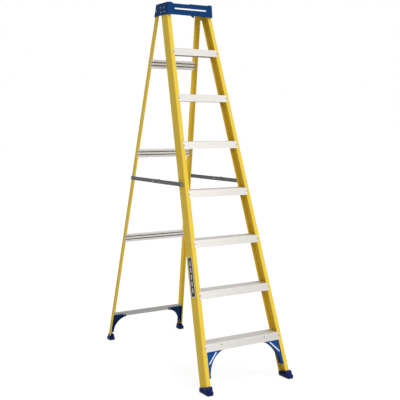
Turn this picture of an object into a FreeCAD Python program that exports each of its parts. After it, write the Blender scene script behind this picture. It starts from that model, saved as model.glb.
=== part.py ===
import FreeCAD, Part
import math
import os
from FreeCAD import Vector

# Eight-foot fibreglass step ladder, standing open.
# Frame: +Z up, the climbing side faces -Y, X runs across the ladder, and the origin is on the
# floor at the middle of the box that holds the open ladder. Millimetres.

# ---- overall size and lean ----
STEP_ALONG_RAIL = 304.8
FRONT_LEAN = math.radians(17.5)
REAR_LEAN = math.radians(12.5)
STEP_RISE = STEP_ALONG_RAIL * math.cos(FRONT_LEAN)
STEP_COUNT = 7
FIRST_STEP_Z = 272.0
CAP_TOP_Z = FIRST_STEP_Z + STEP_COUNT * STEP_RISE
FRONT_FACE_Y = -674.0
REAR_FACE_Y = 687.0
HALF_WIDTH_FLOOR = 300.5
SIDE_TAPER = 0.0611

# ---- rails ----
RAIL_DEPTH = 78.6
RAIL_FLANGE = 28.0
RAIL_WALL = 3.6
REAR_WEB = 32.8
REAR_FLANGE = 28.0
REAR_INSET = 0.8
RAIL_FOOT_Z = 12.5
FRONT_RAIL_TOP_Z = 2294.0
REAR_RAIL_TOP_Z = 2280.0

# ---- steps ----
TREAD_WALL = 2.6
APRON_WALL = 2.2
APRON_HEIGHT = 44.0
APRON_OVER_FLANGE = 11.0
GROOVE_PITCH = 7.4
GROOVE_WIDTH = 2.6
GROOVE_DEPTH = 0.9

LIP_DEPTH = 6.0
LIP_WALL = 2.4
BRACKET_WALL = 2.6
BRACKET_SPAN = (12.0, 64.0)

# ---- braces under the bottom step ----
BRACE_FRONT = 4.2
BRACE_BACK = 40.0
BRACE_WALL = 4.0
BRACE_TIP_X = 144.0
BRACE_FOOT_Z = 84.0

# ---- boots and soles ----
PAD_H = 8.0
SOLE_FLANGE_TOP = 20.0
SLEEVE_WALL = 3.5
SOCKET_GAP = 0.3
FOOT_TOE = 18.0
FOOT_HEEL = 4.0
FOOT_OUT = 7.5
FOOT_IN = 33.5
REAR_FOOT_OUT = 6.5
REAR_FOOT_IN = 33.0
REAR_FOOT_FRONT = 52.0
REAR_FOOT_BACK = 5.0

# ---- fixings ----
SHANK_R = 2.4
HOLE_R = 2.5
HEAD_R = 4.6
HEAD_H = 2.0

# ---- top cap ----
CAP_BOTTOM_Z = 2230.0
CAP_DECK_Z = 2299.5
CAP_WALL = 3.5
CAP_DECK_WALL = 4.0
CAP_RIM = 6.0
CAP_SIDE_GAP = 2.4
CAP_FRONT_Y = 15.0
CAP_REAR_Y = 198.0
CAP_FRONT_DRAFT = 0.02
CAP_CORNER_R = 11.0
TRAY_HALF = 135.0
LOW_RIM_HALF = 132.0
LOW_RIM_DROP = 3.8
DIP_TOP_X = (-131.0, -6.0)
DIP_FLOOR_X = (-127.8, -9.7)
ARCH_TOP_Z = 2262.0
ARCH_TOP_HALF = 96.0
ARCH_FOOT_Z = 2244.0
ARCH_FOOT_HALF = 131.0
TOOL_ROW_MIDDLE_Y = 106.5
TOOL_SLOT_BACK = 16.0
TOOL_HOLE_AHEAD = 34.0
TOOL_SLOTS = [(-84.0, 76.0, 20.0), (0.0, 44.0, 26.0), (84.0, 60.0, 16.0)]
TOOL_HOLES = [(-84.0, 14.0), (-40.0, 9.0), (0.0, 9.0), (40.0, 9.0), (84.0, 14.0)]

# ---- hinge at the cap ----
PIVOT_Z = 2266.0
PIVOT_R = 5.0
RUNNING_GAP = 0.05
HINGE_PLATE_WALL = 2.0

# ---- rear horizontals, bottom bar and corner braces ----
HORIZONTAL_Z = {"lower": 752.0, "middle": 1345.0, "upper": 1936.0}
HORIZONTAL_HALF = 28.5
HORIZONTAL_DEEP = 11.0
HORIZONTAL_WALL = 1.8
HORIZONTAL_TAB = 2.4
BAR_LOW_Z = 163.0
BAR_HIGH_Z = 196.0
BAR_WALL = 3.0
REAR_BRACE_FOOT_Z = 50.0
REAR_BRACE_TOP_Z = 178.0
REAR_BRACE_WALL = 4.0

# ---- spreaders ----
SPREADER_Z = 1178.0
LINK_WIDTH = 25.0
LINK_WALL = 3.0
LINK_PIN_R = 4.0
RIB_WIDTH = 9.0
RIB_RISE = 1.4
RIB_SHORTER = 28.0
REAR_LINK_OUT = 3.2
FRONT_LINK_OUT = 7.2
KNUCKLE_BEHIND_MIDDLE = 30.0
TAIL_LENGTH = 90.0
TAB_LENGTH = 14.0
TAB_WALL = 2.4
TAB_GAP = 0.4

SIDES = {"left": -1, "right": 1}
NORMAL_TILT = math.atan(SIDE_TAPER)


# =====================================================================
# Shared geometry
# =====================================================================
def half_width(z):
    return HALF_WIDTH_FLOOR - SIDE_TAPER * z


def front_y(z):
    """Front plane of the front rails."""
    return FRONT_FACE_Y + z * math.tan(FRONT_LEAN)


def rear_y(z):
    """Rear plane of the rear rails."""
    return REAR_FACE_Y - z * math.tan(REAR_LEAN)


def step_z(number):
    return FIRST_STEP_Z + (number - 1) * STEP_RISE


def rounded_wire(points, radii):
    """Closed wire through points (Vectors in one plane) with each corner rounded."""
    count = len(points)
    ends = []
    for i in range(count):
        here = points[i]
        before = (points[i - 1] - here).normalize()
        after = (points[(i + 1) % count] - here).normalize()
        if radii[i] <= 0:
            ends.append((here, None, here))
            continue
        half = before.getAngle(after) / 2
        reach = radii[i] / math.tan(half)
        inward = (before + after).normalize()
        middle = here + inward * (radii[i] / math.sin(half) - radii[i])
        ends.append((here + before * reach, middle, here + after * reach))
    edges = []
    for i in range(count):
        start, middle, stop = ends[i]
        if middle is not None:
            edges.append(Part.Arc(start, middle, stop).toShape())
        following = ends[(i + 1) % count][0]
        if stop.distanceToPoint(following) > 1e-6:
            edges.append(Part.makeLine(stop, following))
    return Part.Wire(edges)


def front_spot(side, inset, back, z):
    """A point given by its distance in from the web and back from the front plane."""
    return Vector(side * (half_width(z) - inset), front_y(z) + back, z)


def rear_spot(side, inset, forward, z):
    """A point given by its distance in from the web and forward from the rear plane."""
    return Vector(side * (half_width(z) - REAR_INSET - inset), rear_y(z) - forward, z)


def slanted(spot, side, outline, z0, z1, radii=None):
    """Solid that follows a rail from height z0 to z1, with level ends."""
    points = [spot(side, a, b, z0) for a, b in outline]
    wire = rounded_wire(points, radii or [0] * len(points))
    along = spot(side, 0, 0, z1) - spot(side, 0, 0, z0)
    return Part.Face(wire).extrude(along)


def sheet(spot, side, outline, back0, back1, radii=None):
    """Plate lying parallel to a rail's flange. The outline is (x, z), in absolute terms."""
    points = []
    for x, z in outline:
        base = spot(side, 0, back0, z)
        points.append(Vector(side * x, base.y, z))
    wire = rounded_wire(points, radii or [0] * len(points))
    along = spot(side, 0, back1, 0) - spot(side, 0, back0, 0)
    return Part.Face(wire).extrude(Vector(0, along.y, 0))


def fuse(shapes):
    result = shapes[0].multiFuse(shapes[1:])
    return result.removeSplitter()


def save(shape, name):
    solids = shape.Solids
    for solid in solids:
        if not solid.isValid():
            raise ValueError(name + " holds a solid that isn't valid")
    shape = solids[0] if len(solids) == 1 else Part.makeCompound(solids)
    shape.exportStep("parts/" + name + ".step")
    print("%-28s solids %3d  volume %10.0f" % (name, len(solids), shape.Volume))


# =====================================================================
# Rivets and their holes
# =====================================================================
FRONT_IN = Vector(0, math.cos(FRONT_LEAN), -math.sin(FRONT_LEAN))
REAR_IN = Vector(0, -math.cos(REAR_LEAN), -math.sin(REAR_LEAN))


def web_in(side):
    """Direction into a rail's web from the outside."""
    return Vector(-side * math.cos(NORMAL_TILT), 0, -math.sin(NORMAL_TILT))


def dome(base, direction, radius, height):
    ball_r = (radius * radius + height * height) / (2 * height)
    centre = base + direction * (height - ball_r)
    ball = Part.makeSphere(ball_r, centre)
    slab = Part.makeCylinder(radius + 1, height + 1, base, direction)
    return ball.common(slab)


def rivet(start, inward, grip):
    """Domed rivet: head outside start, shank through grip, smaller formed tail."""
    shank = Part.makeCylinder(SHANK_R, grip, start, inward)
    head = dome(start, inward * -1, HEAD_R, HEAD_H)
    tail = dome(start + inward * grip, inward, HEAD_R * 0.8, HEAD_H * 0.9)
    return fuse([head, shank, tail])


def rivets(fixings):
    return Part.makeCompound([rivet(*fixing) for fixing in fixings])


def drilled(shape, fixings):
    """Cut one clearance hole for each fixing."""
    holes = []
    for start, inward, grip in fixings:
        holes.append(Part.makeCylinder(HOLE_R, grip + 6, start - inward * 3, inward))
    return shape.cut(Part.makeCompound(holes))


def bracket_fixings(side, number):
    top = step_z(number)
    found = []
    for back in (24.0, 52.0):
        z = top - 24.0
        found.append((front_spot(side, 0, back, z), web_in(side), RAIL_WALL + BRACKET_WALL))
    return found


def apron_fixings(side, number):
    """One rivet in the front flange and one in the rear flange at each end of a step."""
    z = step_z(number) - 22.0
    inset = RAIL_FLANGE - APRON_OVER_FLANGE / 2
    grip = (APRON_WALL + RAIL_WALL) * math.cos(FRONT_LEAN)
    ahead = front_spot(side, inset, -APRON_WALL, z)
    behind = front_spot(side, inset, RAIL_DEPTH + APRON_WALL, z)
    return [(ahead, FRONT_IN, grip), (behind, FRONT_IN * -1, grip)]


# =====================================================================
# Front rails: C channels, open towards each other
# =====================================================================
def front_rail(side):
    t = RAIL_WALL
    outline = [(0, 0), (RAIL_FLANGE, 0), (RAIL_FLANGE, t), (t, t), (t, RAIL_DEPTH - t),
               (RAIL_FLANGE, RAIL_DEPTH - t), (RAIL_FLANGE, RAIL_DEPTH), (0, RAIL_DEPTH)]
    radii = [5.0, 1.5, 1.5, 1.5, 1.5, 1.5, 1.5, 5.0]
    rail = slanted(front_spot, side, outline, RAIL_FOOT_Z, FRONT_RAIL_TOP_Z, radii)
    fixings = []
    for number in range(1, STEP_COUNT + 1):
        fixings += bracket_fixings(side, number) + apron_fixings(side, number)
    fixings += cap_fixings(side) + brace_fixings(side)[:1] + foot_fixings(side)
    rail = drilled(rail, fixings)
    return rail.cut(pin_hole(side, front_pin_y(), SPREADER_Z, LINK_PIN_R + 0.1))


# =====================================================================
# Steps: extruded treads with grooves on top, aprons in front and behind
# =====================================================================
def tread_top(start, stop):
    """Points along the grooved top from start to stop, as (back, height)."""
    points = [(start, 0)]
    centre = 7.0
    while centre < RAIL_DEPTH - 4:
        a = centre - GROOVE_WIDTH / 2
        b = centre + GROOVE_WIDTH / 2
        if a > start + 1.0 and b < stop - 1.0:
            points += [(a, 0), (a + 0.5, -GROOVE_DEPTH), (b - 0.5, -GROOVE_DEPTH), (b, 0)]
        centre += GROOVE_PITCH
    points.append((stop, 0))
    return points


def bar_across(section, top, x0, x1):
    """Extrude a (back, height) section along X between x0 and x1."""
    y0 = front_y(top)
    points = [Vector(x0, y0 + back, top + height) for back, height in section]
    points.append(points[0])
    return Part.Face(Part.makePolygon(points)).extrude(Vector(x1 - x0, 0, 0))


def step(number):
    top = step_z(number)
    slope = math.tan(FRONT_LEAN)
    drop = APRON_HEIGHT
    wall = APRON_WALL
    deep = RAIL_DEPTH
    lip = LIP_DEPTH
    lip_wall = LIP_WALL

    def lean(back, height):
        return (back + height * slope, height)

    section = [(-wall + 0.8, -0.4)] + tread_top(-wall + 2.0, deep + wall - 2.0)
    section += [(deep + wall - 0.8, -0.4), lean(deep + wall, -1.6), lean(deep + wall, -drop)]
    section += [lean(deep - lip, -drop), lean(deep - lip, -drop + lip_wall),
                lean(deep, -drop + lip_wall), lean(deep, -TREAD_WALL)]
    section += [lean(0, -TREAD_WALL), lean(0, -drop + lip_wall), lean(lip, -drop + lip_wall),
                lean(lip, -drop), lean(-wall, -drop), lean(-wall, -1.6)]
    inner = half_width(top) - RAIL_FLANGE - 0.5
    outer = inner + 0.5 + APRON_OVER_FLANGE
    tongue_end = half_width(top) - RAIL_WALL - 0.8
    pieces = [bar_across(section, top, -inner, inner)]
    front_apron = [lean(-wall, -1.6), lean(0, -1.6), lean(0, -drop), lean(-wall, -drop)]
    rear_apron = [(b + deep + wall, h) for b, h in front_apron]
    tongue = tread_top(RAIL_WALL + 0.4, deep - RAIL_WALL - 0.4)
    tongue += [lean(deep - RAIL_WALL - 0.4, -TREAD_WALL), (RAIL_WALL + 0.4, -TREAD_WALL)]
    for side in SIDES.values():
        pieces.append(bar_across(front_apron, top, side * inner, side * outer))
        pieces.append(bar_across(rear_apron, top, side * inner, side * outer))
        pieces.append(bar_across(tongue, top, side * inner, side * tongue_end))
    body = fuse(pieces)
    fixings = []
    for side in SIDES.values():
        fixings += apron_fixings(side, number)
        if number == 1:
            fixings += brace_fixings(side)[1:]
    return drilled(body, fixings)


def step_bracket(side, number):
    """Angle that carries the end of a step: one leg on the web, one under the tread."""
    top = step_z(number)
    under = top - TREAD_WALL
    t = RAIL_WALL
    near, far = BRACKET_SPAN
    upright = slanted(front_spot, side, [(t, near), (t + BRACKET_WALL, near),
                                         (t + BRACKET_WALL, far), (t, far)], under - 34, under)
    shelf = slanted(front_spot, side, [(t, near), (30, near), (30, far), (t, far)],
                    under - BRACKET_WALL, under)
    return drilled(fuse([upright, shelf]), bracket_fixings(side, number))


# =====================================================================
# Moulded braces under the bottom step
# =====================================================================
def brace_fixings(side):
    """First the rivet through the web, then the one through the bottom step's apron."""
    low = (front_spot(side, 0, 30.0, 112.0), web_in(side), RAIL_WALL + 4.0)
    z = 258.0
    high = (Vector(side * 154.0, front_y(z) - APRON_WALL, z), FRONT_IN,
            (APRON_WALL + BRACE_FRONT + BRACE_WALL) * math.cos(FRONT_LEAN))
    return [low, high]


def brace_curve(steps):
    """Hollow edge of the brace from the tip at the step down to the rail, as (x, z)."""
    low = Vector(half_width(BRACE_FOOT_Z) - 40.0, 0, BRACE_FOOT_Z)
    tip = Vector(BRACE_TIP_X, 0, 226.0)
    middle = Vector(210.0, 0, 188.0)
    arc = Part.Arc(tip, middle, low)
    return [(p.x, p.z) for p in arc.toShape().discretize(steps)]


def front_brace(side):
    t = RAIL_WALL
    top = step_z(1) - TREAD_WALL - BRACKET_WALL - 0.6
    curve = brace_curve(14)
    clear = t + 1.7
    web_top = half_width(top) - t - BRACKET_WALL - 0.5
    web_mid = half_width(top - 36) - t - BRACKET_WALL - 0.5
    web_low = half_width(top - 38) - clear
    web_foot = half_width(BRACE_FOOT_Z) - clear
    outline = curve + [(web_foot, BRACE_FOOT_Z), (web_low, top - 38), (web_mid, top - 36),
                       (web_top, top), (BRACE_TIP_X + 4.0, top), (BRACE_TIP_X, top - 4.0)]
    face = sheet(front_spot, side, outline, BRACE_FRONT, BRACE_FRONT + BRACE_WALL)
    inside = [(x + 3.5 * (0.35 + 0.65 * i / 13.0), z + 3.2 * (1 - 0.75 * i / 13.0))
              for i, (x, z) in enumerate(curve)]
    wall = sheet(front_spot, side, curve + inside[::-1], BRACE_FRONT, BRACE_BACK)
    foot = sheet(front_spot, side, [(curve[-1][0], BRACE_FOOT_Z), (web_foot, BRACE_FOOT_Z),
                                    (web_foot - 0.24, BRACE_FOOT_Z + 4.0),
                                    (curve[-1][0], BRACE_FOOT_Z + 4.0)], BRACE_FRONT, BRACE_BACK)
    spine = slanted(front_spot, side, [(t, BRACE_FRONT + 1.4), (t + 4.0, BRACE_FRONT + 1.4),
                                       (t + 4.0, BRACE_BACK), (t, BRACE_BACK)],
                    BRACE_FOOT_Z, top - 38)
    pad_x = half_width(top) - RAIL_FLANGE - 2.0
    pad_outline = [(BRACE_TIP_X, top - 38.0 + 8), (pad_x, top - 38.0 + 8), (pad_x, top - 3.0),
                   (BRACE_TIP_X + 4.0, top - 3.0), (BRACE_TIP_X, top - 7.0)]
    pad = sheet(front_spot, side, pad_outline, 0.0, BRACE_FRONT)
    body = fuse([face, wall, foot, spine, pad]).cut(lip_space(side))
    tail, inward, grip = apron_fixings(side, 1)[0]
    body = body.cut(Part.makeCylinder(HEAD_R + 1.0, 12.0, tail + inward * 4.0, inward))
    return drilled(body, brace_fixings(side))


def lip_space(side):
    """Room that the bottom step's front lip takes."""
    top = step_z(1)
    slope = math.tan(FRONT_LEAN)
    low = -APRON_HEIGHT - 0.2
    high = -APRON_HEIGHT + 2.8
    section = [(-4 + low * slope, low), (6.6 + low * slope, low),
               (6.6 + high * slope, high), (-4 + high * slope, high)]
    return bar_across(section, top, side * 120.0, side * (half_width(top) - RAIL_FLANGE - 0.4))


# =====================================================================
# Front feet: moulded boots with rubber pads
# =====================================================================
def foot_fixings(side):
    found = []
    for back in (22.0, 56.0):
        start = front_spot(side, -SLEEVE_WALL - 0.1, back, 27.0)
        found.append((start, web_in(side), SLEEVE_WALL + 0.1 + RAIL_WALL))
    return found


def front_foot(side):
    wide = half_width(0)
    xs = [side * (wide + FOOT_OUT), side * (wide - FOOT_IN)]
    y0 = FRONT_FACE_Y - FOOT_TOE
    y1 = FRONT_FACE_Y + RAIL_DEPTH + FOOT_HEEL
    corners = [Vector(xs[0], y0, PAD_H), Vector(xs[0], y1, PAD_H),
               Vector(xs[1], y1, PAD_H), Vector(xs[1], y0, PAD_H)]
    base = Part.Face(rounded_wire(corners, [7, 7, 7, 7])).extrude(Vector(0, 0, SOLE_FLANGE_TOP - PAD_H))
    wall = SLEEVE_WALL
    outline = [(-wall, -wall), (RAIL_FLANGE + 3.0, -wall), (RAIL_FLANGE + 3.0, RAIL_DEPTH + wall),
               (-wall, RAIL_DEPTH + wall)]
    sleeve = slanted(front_spot, side, outline, PAD_H, 60.0, [5, 4, 4, 5])
    y_mid = y0 + 22.0
    toe_points = [Vector(xs[1], y0, 18), Vector(xs[1], y0 + 6, 34), Vector(xs[1], y_mid, 46),
                  Vector(xs[1], y_mid + 20, 46), Vector(xs[1], y_mid + 20, 18)]
    toe_face = Part.Face(Part.makePolygon(toe_points + [toe_points[0]]))
    toe = toe_face.extrude(Vector(xs[0] - xs[1], 0, 0))
    toe = toe.common(slanted(front_spot, side, [(-FOOT_OUT + 2, -20), (FOOT_IN - 2, -20),
                                                (FOOT_IN - 2, 40), (-FOOT_OUT + 2, 40)],
                             10.0, 60.0, [8, 8, 1, 1]))
    above = Part.makeBox(200, 300, 80, Vector(-100, -150, 0))
    above.rotate(Vector(0, 0, 0), Vector(1, 0, 0), -math.degrees(FRONT_LEAN))
    above.translate(Vector(side * wide, FRONT_FACE_Y + 8.0, 47.0))
    body = fuse([base, sleeve, toe]).cut(above)
    gap = SOCKET_GAP
    t = RAIL_WALL + gap
    socket_outline = [(-gap, -gap), (RAIL_FLANGE + gap, -gap), (RAIL_FLANGE + gap, t), (t, t),
                      (t, RAIL_DEPTH - t), (RAIL_FLANGE + gap, RAIL_DEPTH - t),
                      (RAIL_FLANGE + gap, RAIL_DEPTH + gap), (-gap, RAIL_DEPTH + gap)]
    socket = slanted(front_spot, side, socket_outline, RAIL_FOOT_Z, 90.0,
                     [0, 0, 0, 2.4, 2.4, 0, 0, 0])
    body = body.cut(socket)
    hollow = slanted(front_spot, side, [(RAIL_WALL + 3.0, RAIL_WALL + 4.0),
                                        (RAIL_FLANGE + 10.0, RAIL_WALL + 4.0),
                                        (RAIL_FLANGE + 10.0, RAIL_DEPTH - RAIL_WALL - 4.0),
                                        (RAIL_WALL + 3.0, RAIL_DEPTH - RAIL_WALL - 4.0)],
                     20.0, 90.0)
    body = body.cut(hollow)
    spaces = [Part.makeCylinder(HEAD_R + 0.6, 6.0, start + inward * grip, inward)
              for start, inward, grip in foot_fixings(side)]
    body = body.cut(Part.makeCompound(spaces))
    return drilled(largest(body), foot_fixings(side))


def largest(shape):
    return max(shape.Solids, key=lambda solid: solid.Volume)


def rubber_pad(side, x_out, x_in, y0, y1):
    """Flat rubber sole with cross grooves."""
    inset = 1.0
    xs = [side * (x_out - inset), side * (x_in + inset)]
    low, high = y0 + inset, y1 - inset
    corners = [Vector(xs[0], low, 0), Vector(xs[0], high, 0), Vector(xs[1], high, 0),
               Vector(xs[1], low, 0)]
    pad = Part.Face(rounded_wire(corners, [6, 6, 6, 6])).extrude(Vector(0, 0, PAD_H))
    end_margin = 12.0
    groove = 3.0
    count = int((y1 - y0 - end_margin) // end_margin)
    grooves = []
    for i in range(count):
        y = y0 + end_margin + i * (y1 - y0 - 2 * end_margin) / (count - 1)
        corner = Vector(side * (x_out + x_in) / 2 - 40, y - groove / 2, 0)
        grooves.append(Part.makeBox(80, groove, 2.0, corner))
    return pad.cut(Part.makeCompound(grooves))


def front_pad(side):
    wide = half_width(0)
    return rubber_pad(side, wide + FOOT_OUT, wide - FOOT_IN, FRONT_FACE_Y - FOOT_TOE,
                      FRONT_FACE_Y + RAIL_DEPTH + FOOT_HEEL)


# =====================================================================
# Top cap: one hollow moulding with tool slots
# =====================================================================
def cap_ring(z, inset):
    """Rounded outline of the cap at one height, drawn in by inset."""
    wide = half_width(z) + CAP_SIDE_GAP + CAP_WALL - inset
    y0 = CAP_FRONT_Y + inset + (z - CAP_BOTTOM_Z) * CAP_FRONT_DRAFT
    y1 = CAP_REAR_Y - inset - (z - CAP_BOTTOM_Z) * math.tan(REAR_LEAN)
    corners = [Vector(-wide, y0, z), Vector(wide, y0, z), Vector(wide, y1, z),
               Vector(-wide, y1, z)]
    return rounded_wire(corners, [CAP_CORNER_R - inset] * 4)


def cap_block(z0, z1, inset):
    return Part.makeLoft([cap_ring(z0, inset), cap_ring(z1, inset)], True, True)


def cap_fixings(side):
    found = []
    for z in (2249.0, 2279.0):
        for back in (20.0, 66.0):
            start = front_spot(side, -(CAP_SIDE_GAP + CAP_WALL), back, z)
            grip = (CAP_SIDE_GAP + CAP_WALL + RAIL_WALL) * math.cos(NORMAL_TILT)
            found.append((start, web_in(side), grip))
    return found


def slot(x, y, length, width, z0, z1):
    """Upright prism with round ends, lying along X."""
    radius = width / 2
    middle = Part.makeBox(length - width, width, z1 - z0,
                          Vector(x - length / 2 + radius, y - radius, z0))
    ends = [Part.makeCylinder(radius, z1 - z0, Vector(x + s * (length / 2 - radius), y, z0))
            for s in (-1, 1)]
    return fuse([middle] + ends)


def facing_prism(outline, y0, y1, radii=None):
    """Prism along Y between y0 and y1 with an outline of (x, z) points."""
    points = [Vector(x, y0, z) for x, z in outline]
    wire = rounded_wire(points, radii or [0] * len(points))
    return Part.Face(wire).extrude(Vector(0, y1 - y0, 0))


def cap_tray():
    """Space above the deck, with upright walls and the raised ends left standing."""
    floor = Part.Face(cap_ring(CAP_TOP_Z, CAP_RIM))
    floor.translate(Vector(0, 0, CAP_DECK_Z - CAP_TOP_Z))
    space = floor.extrude(Vector(0, 0, 20))
    between = Part.makeBox(2 * TRAY_HALF, 260, 40, Vector(-TRAY_HALF, 0, CAP_DECK_Z - 10))
    return space.common(between)


def cap_dip():
    """Gap in the front rim, down to the deck, left of the middle."""
    low_rim = CAP_TOP_Z - LOW_RIM_DROP + 1.0
    outline = [(DIP_TOP_X[0], low_rim), (DIP_FLOOR_X[0], CAP_DECK_Z),
               (DIP_FLOOR_X[1], CAP_DECK_Z), (DIP_TOP_X[1], low_rim)]
    return facing_prism(outline, CAP_FRONT_Y - 5, CAP_FRONT_Y + 12)


def cap_arch():
    """Space under the arched lower edge of the cap's rear wall."""
    low = CAP_BOTTOM_Z - 5
    outline = [(-ARCH_FOOT_HALF, low), (-ARCH_FOOT_HALF, ARCH_FOOT_Z), (-ARCH_TOP_HALF, ARCH_TOP_Z),
               (ARCH_TOP_HALF, ARCH_TOP_Z), (ARCH_FOOT_HALF, ARCH_FOOT_Z), (ARCH_FOOT_HALF, low)]
    return facing_prism(outline, CAP_REAR_Y - 20, CAP_REAR_Y + 10, [0, 0, 30, 30, 0, 0])


def cap_tools():
    """Slots and round holes through the deck for tools."""
    low, high = CAP_DECK_Z - 20, CAP_DECK_Z + 20
    found = [slot(x, TOOL_ROW_MIDDLE_Y + TOOL_SLOT_BACK, length, width, low, high)
             for x, length, width in TOOL_SLOTS]
    found += [Part.makeCylinder(radius, high - low, Vector(x, TOOL_ROW_MIDDLE_Y - TOOL_HOLE_AHEAD, low))
              for x, radius in TOOL_HOLES]
    return Part.makeCompound(found)


def rear_rail_way(side):
    """Opening in the cap's rear wall for a rear rail, the full height under the deck."""
    width = REAR_FLANGE + 5.2
    inner = half_width(CAP_BOTTOM_Z) - REAR_FLANGE - 6.0
    low = CAP_BOTTOM_Z - 20
    return Part.makeBox(width, 40, CAP_DECK_Z - CAP_DECK_WALL - low,
                        Vector(min(side * inner, side * (inner + width)), CAP_REAR_Y - 26, low))


def top_cap():
    body = cap_block(CAP_BOTTOM_Z, CAP_TOP_Z, 0)
    body = body.cut(cap_block(CAP_BOTTOM_Z - 1, CAP_DECK_Z - CAP_DECK_WALL, CAP_WALL))
    lowered = Part.makeBox(2 * LOW_RIM_HALF, 260, 10,
                           Vector(-LOW_RIM_HALF, 0, CAP_TOP_Z - LOW_RIM_DROP))
    for space in (cap_tray(), lowered, cap_dip(), cap_arch(), cap_tools()):
        body = body.cut(space)
    for side in SIDES.values():
        body = body.cut(rear_rail_way(side))
        body = drilled(body, cap_fixings(side))
        body = body.cut(pin_hole(side, pivot_y(), PIVOT_Z, PIVOT_R + 0.1))
    return body


# =====================================================================
# Hinge between the cap and the rear rails
# =====================================================================
def pivot_y():
    return rear_y(PIVOT_Z) - REAR_WEB / 2


def pin_hole(side, y, z, radius):
    start = Vector(side * (half_width(z) + 40), y, z)
    return Part.makeCylinder(radius, 90, start, Vector(-side, 0, 0))


def hinge_plate(side):
    """Steel plate between the front rail's web and the cap that carries the pin."""
    y_pin = pivot_y()
    outline = [(front_y(2252.0) + 8.0, 2236.0), (front_y(2285.0) + 8.0, 2290.0),
               (y_pin + 4.0, 2286.0), (y_pin + 14.0, 2266.0), (y_pin + 6.0, 2250.0),
               (front_y(2240.0) + 74.0, 2236.0)]
    points = [Vector(side * half_width(z), y, z) for y, z in outline]
    wire = rounded_wire(points, [6, 6, 6, 8, 8, 6])
    plate = Part.Face(wire).extrude(Vector(side * HINGE_PLATE_WALL, 0, 0))
    plate = drilled(plate, cap_fixings(side))
    return plate.cut(pin_hole(side, y_pin, PIVOT_Z, PIVOT_R + 0.1))


def hinge_pin(side):
    y, z = pivot_y(), PIVOT_Z
    outward = Vector(side, 0, 0)
    wall_out = half_width(z) + CAP_SIDE_GAP + CAP_WALL + 0.8
    head_start = Vector(side * wall_out, y, z)
    head = dome(head_start, outward, 8.5, 3.2)
    inner_end = half_width(z) - REAR_INSET - RAIL_WALL - 1.4
    shank = Part.makeCylinder(PIVOT_R, wall_out - inner_end, head_start, outward * -1)
    end = Vector(side * inner_end, y, z)
    washer = Part.makeCylinder(8.0, 1.6, end + outward * 0.2, outward * -1)
    tail = dome(end - outward * 1.4, outward * -1, 6.5, 2.2)
    return fuse([head, shank, washer, tail])


# =====================================================================
# Rear rails: angles with the flange at the back
# =====================================================================
def rear_rail(side):
    t = RAIL_WALL
    outline = [(0, 0), (REAR_FLANGE, 0), (REAR_FLANGE, t), (t, t), (t, REAR_WEB), (0, REAR_WEB)]
    radii = [4.5, 1.5, 1.5, 2.0, 1.5, 1.5]
    rail = slanted(rear_spot, side, outline, RAIL_FOOT_Z, REAR_RAIL_TOP_Z, radii)
    fixings = []
    for middle in HORIZONTAL_Z.values():
        fixings += horizontal_fixings(side, middle)
    fixings += bar_fixings(side) + rear_brace_fixings(side)[:1] + rear_foot_fixings(side)
    rail = drilled(rail, fixings)
    rail = rail.cut(pin_hole(side, pivot_y(), PIVOT_Z, PIVOT_R + RUNNING_GAP))
    return rail.cut(pin_hole(side, rear_pin_y(), SPREADER_Z, LINK_PIN_R + 0.1))


def horizontal_fixings(side, middle):
    """Two rivets through a flattened end and the rear rail's flange, head at the front."""
    found = []
    for rise in (-14.0, 14.0):
        z = middle + rise
        start = rear_spot(side, 16.0, RAIL_WALL + HORIZONTAL_TAB, z)
        grip = (RAIL_WALL + HORIZONTAL_TAB) * math.cos(REAR_LEAN)
        found.append((start, REAR_IN * -1, grip))
    return found


def rear_horizontal(middle):
    """Rolled strip with three bold ridges and flattened ends on the rear flanges."""
    half = HORIZONTAL_HALF
    deep = HORIZONTAL_DEEP
    wall = HORIZONTAL_WALL
    front = [(-half, wall), (-half + 1.5, deep - 2), (-half + 4, deep), (-14.4, deep),
             (-12.4, deep - 2), (-11.4, wall), (-8.2, wall), (-7.2, deep - 2), (-5.2, deep),
             (5.2, deep), (7.2, deep - 2), (8.2, wall), (11.4, wall), (12.4, deep - 2),
             (14.4, deep), (half - 4, deep), (half - 1.5, deep - 2), (half, wall)]
    back = [(half, 0), (half - 3.0, 0), (half - 3.6, deep - 3.2), (half - 5, deep - wall),
            (15.4, deep - wall), (14.2, deep - 3.2), (13.2, 0), (6.4, 0), (5.4, deep - 3.2),
            (4.2, deep - wall), (-4.2, deep - wall), (-5.4, deep - 3.2), (-6.4, 0), (-13.2, 0),
            (-14.2, deep - 3.2), (-15.4, deep - wall), (-half + 5, deep - wall),
            (-half + 3.6, deep - 3.2), (-half + 3.0, 0), (-half, 0)]
    length = half_width(middle + half) - REAR_INSET - RAIL_WALL - 2.6
    ridged = half_width(middle + half) - REAR_INSET - REAR_FLANGE - 0.5
    tab = [(-half, HORIZONTAL_TAB), (half, HORIZONTAL_TAB), (half, 0), (-half, 0)]

    def strip(section, x0, x1):
        points = []
        for rise, out in section:
            z = middle + rise
            points.append(Vector(x0, rear_y(z) - RAIL_WALL - out, z))
        return Part.Face(Part.makePolygon(points + [points[0]])).extrude(Vector(x1 - x0, 0, 0))

    body = fuse([strip(front + back, -ridged, ridged), strip(tab, -length, -ridged),
                 strip(tab, ridged, length)])
    fixings = []
    for side in SIDES.values():
        fixings += horizontal_fixings(side, middle)
    return drilled(body, fixings)


# =====================================================================
# Plain bar and braces at the bottom of the rear frame
# =====================================================================
def bar_fixings(side):
    z = 187.0
    start = rear_spot(side, 15.0, RAIL_WALL + BAR_WALL, z)
    return [(start, REAR_IN * -1, (RAIL_WALL + BAR_WALL) * math.cos(REAR_LEAN))]


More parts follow.
